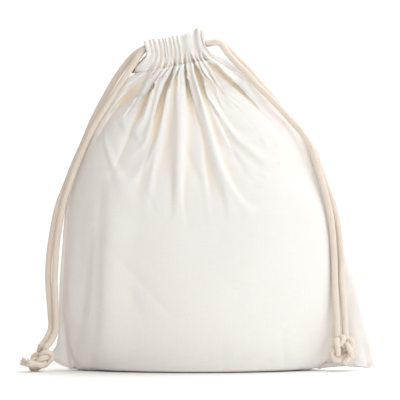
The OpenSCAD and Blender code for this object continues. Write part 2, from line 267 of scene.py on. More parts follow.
def braid(line, radius):
    """Skin of a braided cord along a line: points, faces, wrap map and how high the braid stands."""
    count = len(line)
    ahead = directions(line)
    sides = carried(ahead, np.cross(ahead[0], (0, 1, 0) if abs(ahead[0][1]) < 0.9 else (1, 0, 0)))
    across = np.cross(ahead, sides)
    run = run_along(line)
    turn = np.arange(BRAID_SIDES) / BRAID_SIDES
    u = BRAID_STRANDS * (turn[None] + run[:, None] / BRAID_PITCH)
    v = BRAID_STRANDS * (turn[None] - run[:, None] / BRAID_PITCH)
    iu, iv = np.floor(u), np.floor(v)
    over = np.sin(np.pi * (u - iu)) ** 0.7 * 0.6 + 0.4 * np.cos(np.pi * (v - 0.5 + iu))
    under = np.sin(np.pi * (v - iv)) ** 0.7 * 0.6 - 0.4 * np.cos(np.pi * (u - 0.5 + iv))
    height = np.clip(np.maximum(over, under), 0, 1)
    r = np.asarray(radius).reshape(-1, 1) * (BRAID_FLOOR + BRAID_RELIEF * height)
    angle = 2 * np.pi * turn
    ring = sides[:, None] * np.cos(angle)[None, :, None] + across[:, None] * np.sin(angle)[None, :, None]
    points = (line[:, None] + r[..., None] * ring).reshape(-1, 3)
    faces, wrap = [], []
    for i in range(count - 1):
        low, high = i * BRAID_SIDES, (i + 1) * BRAID_SIDES
        for j in range(BRAID_SIDES):
            m = (j + 1) % BRAID_SIDES
            faces.append((low + j, low + m, high + m, high + j))
            a, b = j / BRAID_SIDES, (j + 1) / BRAID_SIDES
            s, e = run[i] * MM, (run[i] + (run[1] - run[0])) * MM
            wrap += [(a, s), (b, s), (b, e), (a, e)]
    last = (count - 1) * BRAID_SIDES
    faces.append(tuple(range(BRAID_SIDES - 1, -1, -1)))
    faces.append(tuple(range(last, last + BRAID_SIDES)))
    wrap += [(0.5, run[0] * MM)] * BRAID_SIDES + [(0.5, run[-1] * MM)] * BRAID_SIDES
    return points, faces, wrap, height.ravel()


def cord_object(name, skins):
    """One piece of cord from the skins of its strands."""
    points, faces, wrap, height = [], [], [], []
    count = 0
    for p, f, w, h in skins:
        points.append(p)
        faces += [tuple(i + count for i in face) for face in f]
        wrap += w
        height.append(h)
        count += len(p)
    height = np.concatenate(height)
    return add_object(name + "_cord", np.vstack(points), faces, CORD, wrap, height, "braid_height")


tails = {}
for name, side, out, route in (
        ("left_front_tail", -1, -1, LEFT_FRONT), ("left_back_tail", -1, 1, LEFT_BACK),
        ("right_front_tail", 1, -1, RIGHT_FRONT), ("right_back_tail", 1, 1, RIGHT_BACK)):
    start = [neck_point(side * (CORD_BEND[side] - inside), out * STRAND_OUT, CORD_UP[side])
             for inside in (TAIL_INSIDE, 0)]
    line = smooth_line(start + route, BRAID_STEP)
    exit_point = neck_point(side * EXIT_ALONG, out * STRAND_OUT, CORD_UP[side])
    tails[name] = (cord_object(name, [braid(line, CORD_D / 2)]), exit_point, line)

# Cord loops
# The middle of each cord, drawn through both casings: two straight runs and the bend at the far side
# of the neck.
LOOP_BEND_AT = 12.0
loops = {}
for name, side in (("left_cord_loop", -1), ("right_cord_loop", 1)):
    up = CORD_UP[side]
    bend = [neck_point(-side * (LOOP_BEND_AT + STRAND_OUT * math.cos(a)), STRAND_OUT * math.sin(a), up)
            for a in np.linspace(-np.pi / 2, np.pi / 2, 13)]
    front, back = ([neck_point(side * along, out * STRAND_OUT, up)
                    for along in (CORD_BEND[side] - LOOP_INSIDE, LOOP_BEND_AT, 0)] for out in (-1, 1))
    line = smooth_line(front + bend + back[::-1], BRAID_STEP)
    loops[name] = cord_object(name, [braid(line, CORD_D / 2)])

# Knots
# Both strands of a cord are tied together in one overhand knot and drawn tight, so each round is
# a doubled cord.
KNOT_CORD_R = 2.35
# Length of each strand, from its cut, that shows as a cut end
CUT_AT = 7.0
# Points of the tail that the knot's strand lies over, and how often their joint is smoothed
TAIL_OVERLAP, JOINT_ROUNDS = 10, 15


def tied_knot(top, bottom, length):
    """The middle lines of two strands in an overhand knot, drawn tight step by step."""
    count, rounds, size = 90, 900, 7.0
    t = np.linspace(-2.2, 2.2, count)
    line = size * np.stack([0.2 * (t**5 - 10 * t), -0.8 * (t**4 - 4 * t**2 + 1.5), t**3 - 3 * t], 1)
    offset = carried(directions(line)[::-1], np.array([1.0, 0, 0]))[::-1] * KNOT_CORD_R * 1.1
    p = np.vstack([line + offset, line - offset])
    index = np.arange(2 * count)
    same = index[:, None] // count == index // count
    held = [0, count - 1, count, 2 * count - 1]
    goal = np.array([bottom[0], top[0], bottom[1], top[1]])
    start, loose = p[held].copy(), np.linalg.norm(np.diff(p[:count], axis=0), axis=1).sum()
    for k in range(rounds):
        drawn = min(1.0, k / (0.7 * rounds))
        step = (loose * (1 - drawn) + length * drawn) / (count - 1)
        p[held] = start + (goal - start) * drawn
        for strand in (p[:count], p[count:]):
            strand[1:-1] += 0.22 * (strand[:-2] - 2 * strand[1:-1] + strand[2:])
            for first in (0, 1, 0, 1, 0, 1):
                a, b = strand[first:-1:2], strand[first + 1::2]
                d = b - a
                move = 0.5 * d * (1 - step / np.maximum(np.linalg.norm(d, axis=1), 1e-6))[:, None]
                a += move
                b -= move
        d = p[:, None] - p[None]
        gap = np.linalg.norm(d, axis=2)
        next_to = same & (np.abs(index[:, None] - index) < math.pi * KNOT_CORD_R / step)
        near = (gap < 2 * KNOT_CORD_R) & ~next_to
        push = np.where(near, (2 * KNOT_CORD_R - gap) / np.maximum(gap, 1e-6), 0)
        p += 0.5 * (d * push[..., None]).sum(1) / np.maximum(1, near.sum(1) ** 0.6)[:, None]
        p[held] = start + (goal - start) * drawn
    return p[:count], p[count:]


# Each knot's middle, the way its ends point, their reach and half spread, and the cord in each strand
knots, knot_ends = {}, {}
for name, centre, out, reach, spread, length in (
        ("left_knot", LEFT_KNOT, (-0.72, -0.62, -0.30), 13, 3.6, 83),
        ("right_knot", RIGHT_KNOT, (0.05, -0.72, -0.69), 12, 3.8, 84)):
    side = name.split("_")[0]
    arrive = np.array([tails[side + "_front_tail"][2][-1], tails[side + "_back_tail"][2][-1]]) - centre
    up = arrive.mean(0) / np.linalg.norm(arrive.mean(0))
    apart = arrive[1] - arrive[0]
    apart -= up * apart.dot(up)
    apart /= np.linalg.norm(apart)
    turn = np.stack([apart, np.cross(up, apart), up])
    leave = turn @ (np.array(out) / np.linalg.norm(out))
    wide = np.array([1.0, 0, 0]) - leave * leave[0]
    wide /= np.linalg.norm(wide)
    top = [turn @ v for v in arrive[::-1]]
    bottom = [leave * reach + wide * spread, leave * reach - wide * spread]
    skins, knot_ends[side] = [], []
    for strand, end in zip(tied_knot(np.array(top), np.array(bottom), length), ("_back_tail", "_front_tail")):
        strand = smooth_line(strand @ turn + centre, BRAID_STEP)
        joint = len(strand)
        strand = np.vstack([strand, tails[side + end][2][-2:-2 - TAIL_OVERLAP:-1]])
        for _ in range(JOINT_ROUNDS):
            strand[joint - 9:-1] = (strand[joint - 10:-2] + 2 * strand[joint - 9:-1] + strand[joint - 8:]) / 4
        cut = round(CUT_AT / BRAID_STEP)
        from_tail = np.arange(len(strand) - cut)[::-1]
        radius = np.interp(from_tail, [0, 8, 24], [2.6, CORD_D / 2 + 0.05, KNOT_CORD_R])
        skins.append(braid(strand[cut:], radius))
        knot_ends[side].append(strand[:cut + 3][::-1])
    knots[name] = cord_object(name, skins)

# Cut ends
# Short ends of the two strands past each knot, cut off and frayed a little.
FIBRE_LENGTH, FIBRE_WIDTH, FIBRE_SPREAD = 0.0032, 0.00035, 1.1
FIBRE_SEED = 3
FRAYED_RINGS = 3


def new_tree(name, entry, sizes, result):
    """An empty Geometry Nodes tree, and the identifiers of the sockets that take its sizes."""
    tree = bpy.data.node_groups.new(name, "GeometryNodeTree")
    face = tree.interface
    face.new_socket(entry, in_out="INPUT", socket_type="NodeSocketGeometry")
    sockets = {size: face.new_socket(size, in_out="INPUT", socket_type="NodeSocket" + kind).identifier
               for size, kind in sizes.items()}
    face.new_socket(result, in_out="OUTPUT", socket_type="NodeSocketGeometry")
    return tree, sockets


def join_nodes(tree, links):
    """Links from one node's output to another node's input."""
    for source, output, target, entry in links:
        tree.links.new(source.outputs[output], target.inputs[entry])


def fray_tree():
    """Geometry Nodes that let loose fibres stand out of a cord where it is cut."""
    tree, sockets = new_tree("frayed_end", "Cord", {"Fibre length": "Float", "Fibre width": "Float",
                                                    "Spread": "Float", "Seed": "Int"}, "Frayed cord")
    new = tree.nodes.new
    start, end = new("NodeGroupInput"), new("NodeGroupOutput")
    aim, long = new("GeometryNodeInputNamedAttribute"), new("ShaderNodeVectorMath")
    aim.data_type = "FLOAT_VECTOR"
    set_inputs(aim, {"Name": "fray"})
    long.operation = "LENGTH"
    at_cut = new("FunctionNodeCompare")
    set_inputs(at_cut, {"B": 0.5})
    stray = new("FunctionNodeRandomValue")
    shake, bent = new("ShaderNodeVectorMath"), new("ShaderNodeVectorMath")
    stray.data_type = "FLOAT_VECTOR"
    set_inputs(stray, {0: (-1, -1, -1), 1: (1, 1, 1)})
    shake.operation = "SCALE"
    turn = new("FunctionNodeAlignRotationToVector")
    turn.axis = "Z"
    vary, tall, size = new("FunctionNodeRandomValue"), new("ShaderNodeMath"), new("ShaderNodeCombineXYZ")
    set_inputs(vary, {2: 0.4, 3: 1.2})
    tall.operation = "MULTIPLY"
    fibre, raised = new("GeometryNodeMeshCylinder"), new("GeometryNodeTransform")
    named = new("GeometryNodeStoreNamedAttribute")
    set_inputs(fibre, {"Vertices": 5, "Radius": 0.5, "Depth": 1.0})
    set_inputs(raised, {"Translation": (0, 0, 0.4)})
    set_inputs(named, {"Name": "braid_height", "Value": 0.9})
    place, both = new("GeometryNodeInstanceOnPoints"), new("GeometryNodeJoinGeometry")
    real, paint = new("GeometryNodeRealizeInstances"), new("GeometryNodeSetMaterial")
    set_inputs(paint, {"Material": CORD})
    join_nodes(tree, (
        (aim, "Attribute", long, 0), (long, "Value", at_cut, "A"),
        (start, "Seed", stray, "Seed"), (start, "Seed", vary, "Seed"),
        (stray, 0, shake, 0), (start, "Spread", shake, "Scale"),
        (aim, "Attribute", bent, 0), (shake, "Vector", bent, 1), (bent, "Vector", turn, "Vector"),
        (start, "Fibre length", tall, 0), (vary, 1, tall, 1),
        (start, "Fibre width", size, "X"), (start, "Fibre width", size, "Y"), (tall, "Value", size, "Z"),
        (fibre, "Mesh", raised, "Geometry"), (raised, "Geometry", named, "Geometry"),
        (start, "Cord", place, "Points"), (at_cut, "Result", place, "Selection"),
        (named, "Geometry", place, "Instance"), (turn, "Rotation", place, "Rotation"),
        (size, "Vector", place, "Scale"),
        (start, "Cord", both, "Geometry"), (place, "Instances", both, "Geometry"),
        (both, "Geometry", real, "Geometry"), (real, "Geometry", paint, "Geometry"),
        (paint, "Geometry", end, "Frayed cord")))
    return tree, sockets


def plain(obj):
    """The object with its modifiers taken into its mesh."""
    mesh = bpy.data.meshes.new_from_object(obj.evaluated_get(bpy.context.evaluated_depsgraph_get()))
    obj.modifiers.clear()
    obj.data = mesh
    return obj


def grown(obj, tree, sockets, sizes):
    """The object with what the tree makes of it as its mesh."""
    nodes = obj.modifiers.new(tree.name, "NODES")
    nodes.node_group = tree
    for size, value in sizes.items():
        nodes[sockets[size]] = value
    return plain(obj)


FRAY, FRAY_SOCKETS = fray_tree()
cut_ends = {}
for seed, (name, reach) in enumerate((("left_cord_ends", 1.5), ("right_cord_ends", 4.0)), FIBRE_SEED):
    skins, frays = [], []
    for start in knot_ends[name.split("_")[0]]:
        ahead = start[-1] - start[-4]
        ahead /= np.linalg.norm(ahead)
        stations = [start[0], start[len(start) // 2], start[-1], start[-1] + ahead * reach * 0.6]
        line = smooth_line(stations, BRAID_STEP)
        line[:, 2] = np.maximum(line[:, 2], CORD_D / 2 + 0.2)
        radius = np.interp(np.linspace(0, 1, len(line)), [0, 0.5, 1], [KNOT_CORD_R, 2.45, 2.7])
        skins.append(braid(line, radius))
        fray = np.zeros((len(line), BRAID_SIDES, 3))
        fray[-FRAYED_RINGS:] = ahead
        frays.append(fray.reshape(-1, 3))
    obj = cord_object(name, skins)
    loose = obj.data.attributes.new("fray", "FLOAT_VECTOR", "POINT")
    loose.data.foreach_set("vector", np.vstack(frays).astype(np.float32).ravel())
    cut_ends[name] = grown(obj, FRAY, FRAY_SOCKETS, {"Fibre length": FIBRE_LENGTH, "Fibre width": FIBRE_WIDTH,
                                                     "Spread": FIBRE_SPREAD, "Seed": seed})


def fixed_to(obj, body, node):
    """A finished piece, which moves with a body and takes the place of a solid."""
    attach(obj, body)
    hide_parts(node)
    return obj


for name, (obj, exit_point, line) in tails.items():
    side = name.split("_")[0]
    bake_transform(obj)
    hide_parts(name)
    length = np.linalg.norm(np.diff(line, axis=0), axis=1).sum() * MM
for group, ending in ((loops, "_cord"), (knots, "_tails"), (cut_ends, "_tails")):
    for name, obj in group.items():
        fixed_to(obj, name.split("_")[0] + ending, name)

# Front and back panels
# Two pieces of plain-woven cream cotton, 300 by 340 mm, sewn at the sides and the bottom and turned
# right side out. Their tops are gathered into the neck, and the filling presses them out from within.
PANEL_W, PANEL_H = 300.0, 340.0
PANEL_COLS, PANEL_ROWS = 96, 100
CLOTH = 0.7
CLOTH_COLOUR = (0.865, 0.847, 0.822, 1)
# Painted shade: warm tan laid into the cloth where it lies deep in a fold
FOLD_SHADE_COLOUR = (0.84, 0.71, 0.53, 1)
# Distance between threads, and between the bands of a wave pattern at scale 1, in metres
WEAVE_PITCH, WAVE_LENGTH = 0.0006, 0.314
# Half the width between the bottom corners and half the depth, and half the width and depth at the gathers
HALF_W, HALF_D = 141.0, 59.2
NECK_HALF, NECK_OUT = 35.5, 18.0
# The back panel lies above the front one on the map of the cut cloth, and the seams above both
BACK_CUT_AT, SEAM_CUT_AT = 400, 900
# The cloth is cut a little wider than its first shape; its height is measured on its middle columns
CUT_EASE = 1.01
MIDDLE_COLS = slice(38, 59)
FILL_TOP, FILL_PRESSURE = 0.86, 0.8
SETTLE_FRAMES = 30
# Points of an outline on its flat left edge, on the round body and on its flat right edge
LEFT_POINTS, BODY_POINTS, RIGHT_POINTS = 12, 400, 24
# Height, left edge, left and right of the filled body, right edge, depth, fullness of sides, share of tilt
BODY = np.array([
    (0.012, -1.000, -0.858, 0.660, 1.000, 0.78, 0.80, 0),
    (0.060, -0.965, -0.893, 0.709, 0.982, 0.84, 0.78, 0),
    (0.150, -0.948, -0.920, 0.738, 0.932, 0.91, 0.72, 0),
    (0.270, -0.944, -0.919, 0.745, 0.880, 0.97, 0.66, 0),
    (0.400, -0.926, -0.901, 0.738, 0.800, 1.00, 0.62, 0),
    (0.530, -0.904, -0.879, 0.699, 0.727, 0.98, 0.60, 0),
    (0.650, -0.844, -0.819, 0.610, 0.635, 0.90, 0.58, 0.02),
    (0.770, -0.760, -0.735, 0.515, 0.540, 0.77, 0.56, 0.15),
    (0.855, -0.690, -0.665, 0.355, 0.380, 0.64, 0.54, 0.45),
    (0.943, -0.600, -0.575, 0.170, 0.195, 0.45, 0.50, 0.80),
    (0.975, -0.546, -0.527, 0.102, 0.121, 0.36, 0.46, 0.93),
    (1.000, -0.450, -0.439, 0.042, 0.053, 0.245, 0.42, 1)])
# Each fold of the gathered cloth: its share across the panel at the neck, its share along the neck,
# its depth, its length and its share across the panel where it ends
FRONT_FOLDS = [(0, 0, 0, 1, 0), (0.078, 0.128, 7, 85, 0.052), (0.145, 0.215, 3, 25, 0.14),
               (0.224, 0.305, 8, 120, 0.198), (0.275, 0.37, 3, 22, 0.27), (0.333, 0.43, 9, 125, 0.302),
               (0.42, 0.49, 4, 28, 0.42), (0.51, 0.556, 9, 132, 0.547), (0.56, 0.61, 3, 22, 0.565),
               (0.609, 0.669, 9, 102, 0.661), (0.70, 0.72, 3, 25, 0.71), (0.78, 0.76, 3, 28, 0.78),
               (0.865, 0.81, 7, 85, 0.875), (0.94, 0.91, 3, 35, 0.94), (1, 1, 0, 1, 1)]
BACK_FOLDS = [(0, 0, 0, 1, 0), (0.09, 0.09, 6, 80, 0.08), (0.20, 0.20, 8, 110, 0.18),
              (0.33, 0.33, 9, 130, 0.31), (0.40, 0.40, 3, 30, 0.40), (0.47, 0.47, 7, 95, 0.47),
              (0.59, 0.59, 9, 135, 0.61), (0.66, 0.66, 3, 25, 0.66), (0.72, 0.72, 7, 105, 0.75),
              (0.83, 0.83, 7, 90, 0.85), (0.93, 0.93, 5, 70, 0.94), (1, 1, 0, 1, 1)]
# How the folds are sharpened: share of their depth, and how far their steep and their soft flank reach
FOLD_SHARPNESS, STEEP_FLANK, SOFT_FLANK = 0.55, 2.2, 9.0
# How far the back stands out at its right shoulder, and how far below the neck ripples start to be taken out
BACK_SHOULDER, CALM_FROM = 5.0, 115
# Soft creases of the front below the folds, seen from the front: from, to, depth and half width
CREASES = [((-86, 172), (-90, 8), -4.0, 13), ((-114, 150), (-117, 25), 3.0, 9),
           ((-102, 121), (-57, 73), 0.8, 4), ((-70, 85), (-27, 41), 0.6, 4), ((-72, 79), (-60, 44), 0.7, 5),
           ((-103, 128), (-113, 40), 1.6, 5), ((-94, 168), (-101, 22), 1.6, 5),
           ((-57, 155), (-48, 133), 0.4, 2.5), ((-26, 200), (-11, 163), 0.9, 3),
           ((60, 38), (62, 2), 0.9, 3.5), ((-106, 16), (-104, 4), 1.8, 5), ((8, 24), (10, 2), 0.5, 3),
           ((50, 20), (49, 3), 0.5, 3), ((12, 214), (14, 170), 0.8, 5)]


def ease(t):
    t = np.clip(t, 0, 1)
    return t * t * (3 - 2 * t)


def body_value(h, column):
    """A value of the filled body at a share of its height."""
    i = int(np.clip(np.searchsorted(BODY[:, 0], h) - 1, 0, len(BODY) - 2))
    d = BODY[i + 1, 0] - BODY[i, 0]
    s = (h - BODY[i, 0]) / d

    def slope(k):
        a, b = max(0, k - 1), min(len(BODY) - 1, k + 1)
        return (BODY[b, column] - BODY[a, column]) / (BODY[b, 0] - BODY[a, 0])

    return (BODY[i, column] * (2 * s**3 - 3 * s**2 + 1) + slope(i) * d * (s**3 - 2 * s**2 + s)
            + BODY[i + 1, column] * (3 * s**2 - 2 * s**3) + slope(i + 1) * d * (s**3 - s**2))


def cross_section(h, flat):
    """Half of the sack's outline at a height, from the left edge over the body to the right edge."""
    left, body_left, body_right, right = (HALF_W * body_value(h, c) for c in (1, 2, 3, 4))
    u = np.sin(np.linspace(-np.pi / 2, np.pi / 2, BODY_POINTS))
    x = np.r_[np.linspace(left, body_left, LEFT_POINTS)[:-1],
              (body_left + body_right) / 2 + (body_right - body_left) / 2 * u,
              np.linspace(body_right, right, RIGHT_POINTS)[1:]]
    across = np.r_[-np.ones(LEFT_POINTS - 1), u, np.ones(RIGHT_POINTS - 1)]
    full = np.maximum(0, 1 - np.abs(across) ** (2.3 + 5 * ease((h - 0.85) / 0.15))) ** body_value(h, 6)
    wing = np.r_[np.linspace(1, 0, LEFT_POINTS)[:-1], np.zeros(BODY_POINTS),
                 np.linspace(0, 1, RIGHT_POINTS)[1:]]
    low = 1.0 if flat < 1 else 1 - ease(h / 0.12)
    foot = flat * 1.6 * np.abs(across) ** 8 if flat < 1 else h * NECK[2]
    z = foot + wing * low * np.where(across < 0, 9.0, 2.0) + 0.8
    tilt, mid = NECK_TILT * body_value(h, 7), (left + right) / 2
    return np.stack([mid + (x - mid) * math.cos(tilt), HALF_D * body_value(h, 5) * flat * full + 0.8,
                     z + (x - mid) * math.sin(tilt)], 1)


def fold_depth(share, folds, crest, below=0.0):
    """How far the gathered cloth stands out: sharp valleys at the folds and round crests between them."""
    live = [(f[0] + (f[4] - f[0]) * min(1, below / f[3]), f[2] * max(0, 1 - below / f[3]) ** 0.8)
            for f in folds if below < f[3] or f[0] in (0, 1)]
    at, out = [], []
    for (s, depth), (nxt, _) in zip(live, live[1:]):
        at += [s, (s + nxt) / 2]
        out += [-depth, crest * min(1, (nxt - s) / 0.1)]
    at, out = np.array(at + [1.0]), np.array(out + [0.0])
    i = np.clip(np.searchsorted(at, share, side="right") - 1, 0, len(at) - 2)
    t = (share - at[i]) / (at[i + 1] - at[i])
    t = np.where(i % 2 == 0, 1 - (1 - t) ** 1.8, t**1.8)
    return out[i] * (1 - t) + out[i + 1] * t


share = np.linspace(0, 1, PANEL_COLS + 1)


def along_neck(shares, folds):
    """Where shares across the cloth come to lie along the neck, from -1 at its left end to 1."""
    return 2 * np.interp(shares, [f[0] for f in folds], [f[1] for f in folds]) - 1


def neck_ring(folds, sign):
    """The line along which the cloth of one panel is gathered."""
    along = NECK_HALF * along_neck(share, folds)
    along = along - 4 * ease((0.12 - share) / 0.12)
    edge = ease(np.minimum(share, 1 - share) / 0.05)
    round_ends = np.sqrt(1 - np.abs(2 * share - 1) ** 10)
    out = (NECK_OUT + 0.6 * fold_depth(share, folds, 4.5) * edge) * round_ends + 0.8
    return NECK + along[:, None] * NECK_ALONG + np.stack([0 * out, sign * out, 0 * out], 1)


def panel_start(folds, sign):
    """Rows of points from the bottom seam to the neck, with the folds begun and nothing settled yet."""
    levels = [(BODY[0, 0], f) for f in np.linspace(0, 1, 21)]
    levels += [(h, 1.0) for h in np.linspace(BODY[0, 0], 1, 160)[1:]]
    run = run_along(np.array([cross_section(h, f)[LEFT_POINTS - 1 + BODY_POINTS // 2] for h, f in levels]))
    ring = neck_ring(folds, sign)
    rows = []
    for r in range(PANEL_ROWS + 1):
        at = run[-1] * r / PANEL_ROWS
        h, flat = np.interp(at, run, [v[0] for v in levels]), np.interp(at, run, [v[1] for v in levels])
        rows.append(evenly(cross_section(h, flat), PANEL_COLS + 1) * (1, sign, 1))
    pull = ring - rows[-1]
    for r, row in enumerate(rows):
        below = PANEL_H * (1 - r / PANEL_ROWS)
        row += math.exp(-(below / 50) ** 2) * pull
        row[:, 1] += sign * min(1, below / 30) * fold_depth(share, folds, 0.0, 1.3 * below)
    rows[-1] = ring
    return np.array(rows)


def sewn_sack(front, back):
    """Both panels as one skin: they share the points of the side seams and the bottom seam."""
    ids = np.zeros((2, PANEL_ROWS + 1, PANEL_COLS + 1), int)
    points, rest = [], []
    for k, rows in enumerate((front, back)):
        rise = np.r_[0, np.cumsum(np.linalg.norm(np.diff(rows[:, MIDDLE_COLS], axis=0), axis=2).mean(1))]
        for r in range(PANEL_ROWS + 1):
            wide = run_along(rows[r])
            wide = (wide - wide[-1] / 2) * CUT_EASE
            for c in range(PANEL_COLS + 1):
                if k == 1 and (r == 0 or c in (0, PANEL_COLS)):
                    ids[1, r, c] = ids[0, r, c]
                    continue
                ids[k, r, c] = len(points)
                points.append(rows[r, c])
                rest.append((wide[c], k - 0.5, rise[r]))
    faces = []
    for k in (0, 1):
        for r in range(PANEL_ROWS):
            for c in range(PANEL_COLS):
                f = [ids[k, r, c], ids[k, r, c + 1], ids[k, r + 1, c + 1], ids[k, r + 1, c]]
                faces.append([int(i) for i in (f if k == 0 else f[::-1])])
    return ids, np.array(points), np.array(rest), faces


def filling():
    """What fills the sack: a smooth body a little smaller than the sack, with a round top."""
    sides = 80
    turn = np.linspace(0, 2 * np.pi, sides, endpoint=False)
    rows = []
    for h in np.linspace(0.02, FILL_TOP, 34):
        inset = 3 + 9 * ease((h - 0.5) / 0.35)
        left, right = HALF_W * body_value(h, 2) + 2.5, HALF_W * body_value(h, 3) - 2.5
        mid, tilt = (left + right) / 2, NECK_TILT * body_value(h, 7)
        x = (right - left) / 2 * np.cos(turn)
        y = ((HALF_D * body_value(h, 5) - inset) * np.sign(np.sin(turn))
             * np.maximum(0, 1 - np.abs(np.cos(turn)) ** 2.3) ** (body_value(h, 6) * 0.9))
        rows.append(np.stack([mid + x * math.cos(tilt), y, h * NECK[2] + x * math.sin(tilt)], 1))
    top = rows[-1]
    for part, rise in ((0.92, 6), (0.8, 11), (0.6, 16), (0.35, 19), (0.15, 20)):
        row = top.mean(0) + (-1, 0, 0) + (top - top.mean(0)) * part
        row[:, 2] = top[:, 2] * part + top[:, 2].mean() * (1 - part) + rise
        rows.append(row)
    count = len(rows)
    points = np.vstack(rows + [rows[-1].mean(0)[None] + (0, 0, 0.5), rows[0].mean(0)[None]])
    pairs = [(c, (c + 1) % sides) for c in range(sides)]
    faces = [(r * sides + c, r * sides + d, (r + 1) * sides + d, (r + 1) * sides + c)
             for r in range(count - 1) for c, d in pairs]
    faces += [((count - 1) * sides + c, (count - 1) * sides + d, count * sides) for c, d in pairs]
    faces += [(d, c, count * sides + 1) for c, d in pairs]
    return points, faces


def settled(ids, points, rest, faces):
    """The sewn cloth after it has settled round its filling and on the floor, at ten times its size."""
    scale = 0.01
    made = []

    def solid(name, verts, quads, friction):
        obj = linked(name, new_mesh(name, (np.asarray(verts) * scale).tolist(), quads))
        obj.modifiers.new("Collision", "COLLISION")
        obj.collision.thickness_outer = 0.008
        obj.collision.thickness_inner = 0.05
        obj.collision.cloth_friction = friction
        obj.collision.damping = 0.5
        made.append(obj)

    solid("filling", *filling(), 8)
    solid("ground", [(-900, -900, 0), (900, -900, 0), (900, 900, 0), (-900, 900, 0)], [(0, 1, 2, 3)], 20)
    sack = linked("sewn", new_mesh("sewn", (points * scale).tolist(), faces))
    made.append(sack)
    sack.shape_key_add(name="Basis")
    cut = sack.shape_key_add(name="cut")
    cut.data.foreach_set("co", (rest * scale).astype(np.float32).ravel())
    held = sack.vertex_groups.new(name="held")
    held.add([int(i) for i in set(ids[0, -1]) | set(ids[1, -1])], 1.0, "REPLACE")
    for k in (0, 1):
        for r in range(PANEL_ROWS):
            for c in range(PANEL_COLS + 1):
                edge, low = min(c, PANEL_COLS - c) / PANEL_COLS, r / PANEL_ROWS
                hold = 0.9 * max(0, 1 - edge / 0.10) * max(0, 1 - low / 0.22) + max(0, 1 - edge / 0.03)
                if hold > 0.01:
                    held.add([int(ids[k, r, c])], min(hold, 1.0), "REPLACE")
    cloth = sack.modifiers.new("Cloth", "CLOTH")
    for field, value in dict(
            quality=5, mass=0.25, air_damping=2, tension_stiffness=25, compression_stiffness=25,
            shear_stiffness=8, bending_model="ANGULAR", bending_stiffness=1.5, tension_damping=10,
            compression_damping=10, shear_damping=5, bending_damping=0.8, vertex_group_mass="held",
            pin_stiffness=1, rest_shape_key=cut, use_pressure=True,
            uniform_pressure_force=FILL_PRESSURE).items():
        setattr(cloth.settings, field, value)
    for field, value in dict(
            use_collision=True, distance_min=0.008, collision_quality=3, use_self_collision=True,
            self_distance_min=0.006, self_friction=5).items():
        setattr(cloth.collision_settings, field, value)
    cloth.point_cache.frame_start, cloth.point_cache.frame_end = 1, SETTLE_FRAMES
    for f in range(1, SETTLE_FRAMES + 1):
        bpy.context.scene.frame_set(f)
    result = sack.evaluated_get(bpy.context.evaluated_depsgraph_get()).to_mesh()
    out = np.zeros(len(result.vertices) * 3)
    result.vertices.foreach_get("co", out)
    for obj in made:
        bpy.data.objects.remove(obj)
    bpy.context.scene.frame_set(1)
    return out.reshape(-1, 3) / scale


front_rows, back_rows = panel_start(FRONT_FOLDS, -1), panel_start(BACK_FOLDS, 1)
for c in (0, -1):
    seam = (front_rows[:, c] + back_rows[:, c]) / 2 * (1, 0, 1)
    front_rows[:, c], back_rows[:, c] = seam, seam
front_rows[0, :, 1] = 0
back_rows[0] = front_rows[0]
ids, points, rest, faces = sewn_sack(front_rows, back_rows)
points = settled(ids, points, rest, faces)
panel_rows = [points[ids[k]] for k in (0, 1)]


def averaged(values, reach):
    """Each value averaged with its neighbours to both sides in the row."""
    pad, count = np.pad(values, ((0, 0), (reach, reach)), "edge"), 2 * reach + 1
    return sum(pad[:, i:i + values.shape[1]] for i in range(count)) / count


def calmed(rows):
    """Takes the small upright ripples out of the cloth that lies on the filling, below the folds."""
    even = averaged(rows[..., 1], 8)
    below = PANEL_H * np.linspace(1, 0, len(rows))
    share_in = ease((below - CALM_FROM) / 45)[:, None] * ease(np.minimum(share, 1 - share) / 0.12 - 1)
    rows = rows.copy()
    rows[..., 1] += 0.85 * share_in * (even - rows[..., 1])
    return rows


def finer(rows):
    """Twice as many rows and columns, on the smooth surface through the given points."""
    for _ in (0, 1):
        pad = np.concatenate([2 * rows[:1] - rows[1:2], rows, 2 * rows[-1:] - rows[-2:-1]])
        out = np.empty((2 * len(rows) - 1,) + rows.shape[1:])
        out[::2] = rows
        out[1::2] = (9 * (pad[1:-2] + pad[2:-1]) - pad[:-3] - pad[3:]) / 16
        rows = out.swapaxes(0, 1)
    return rows


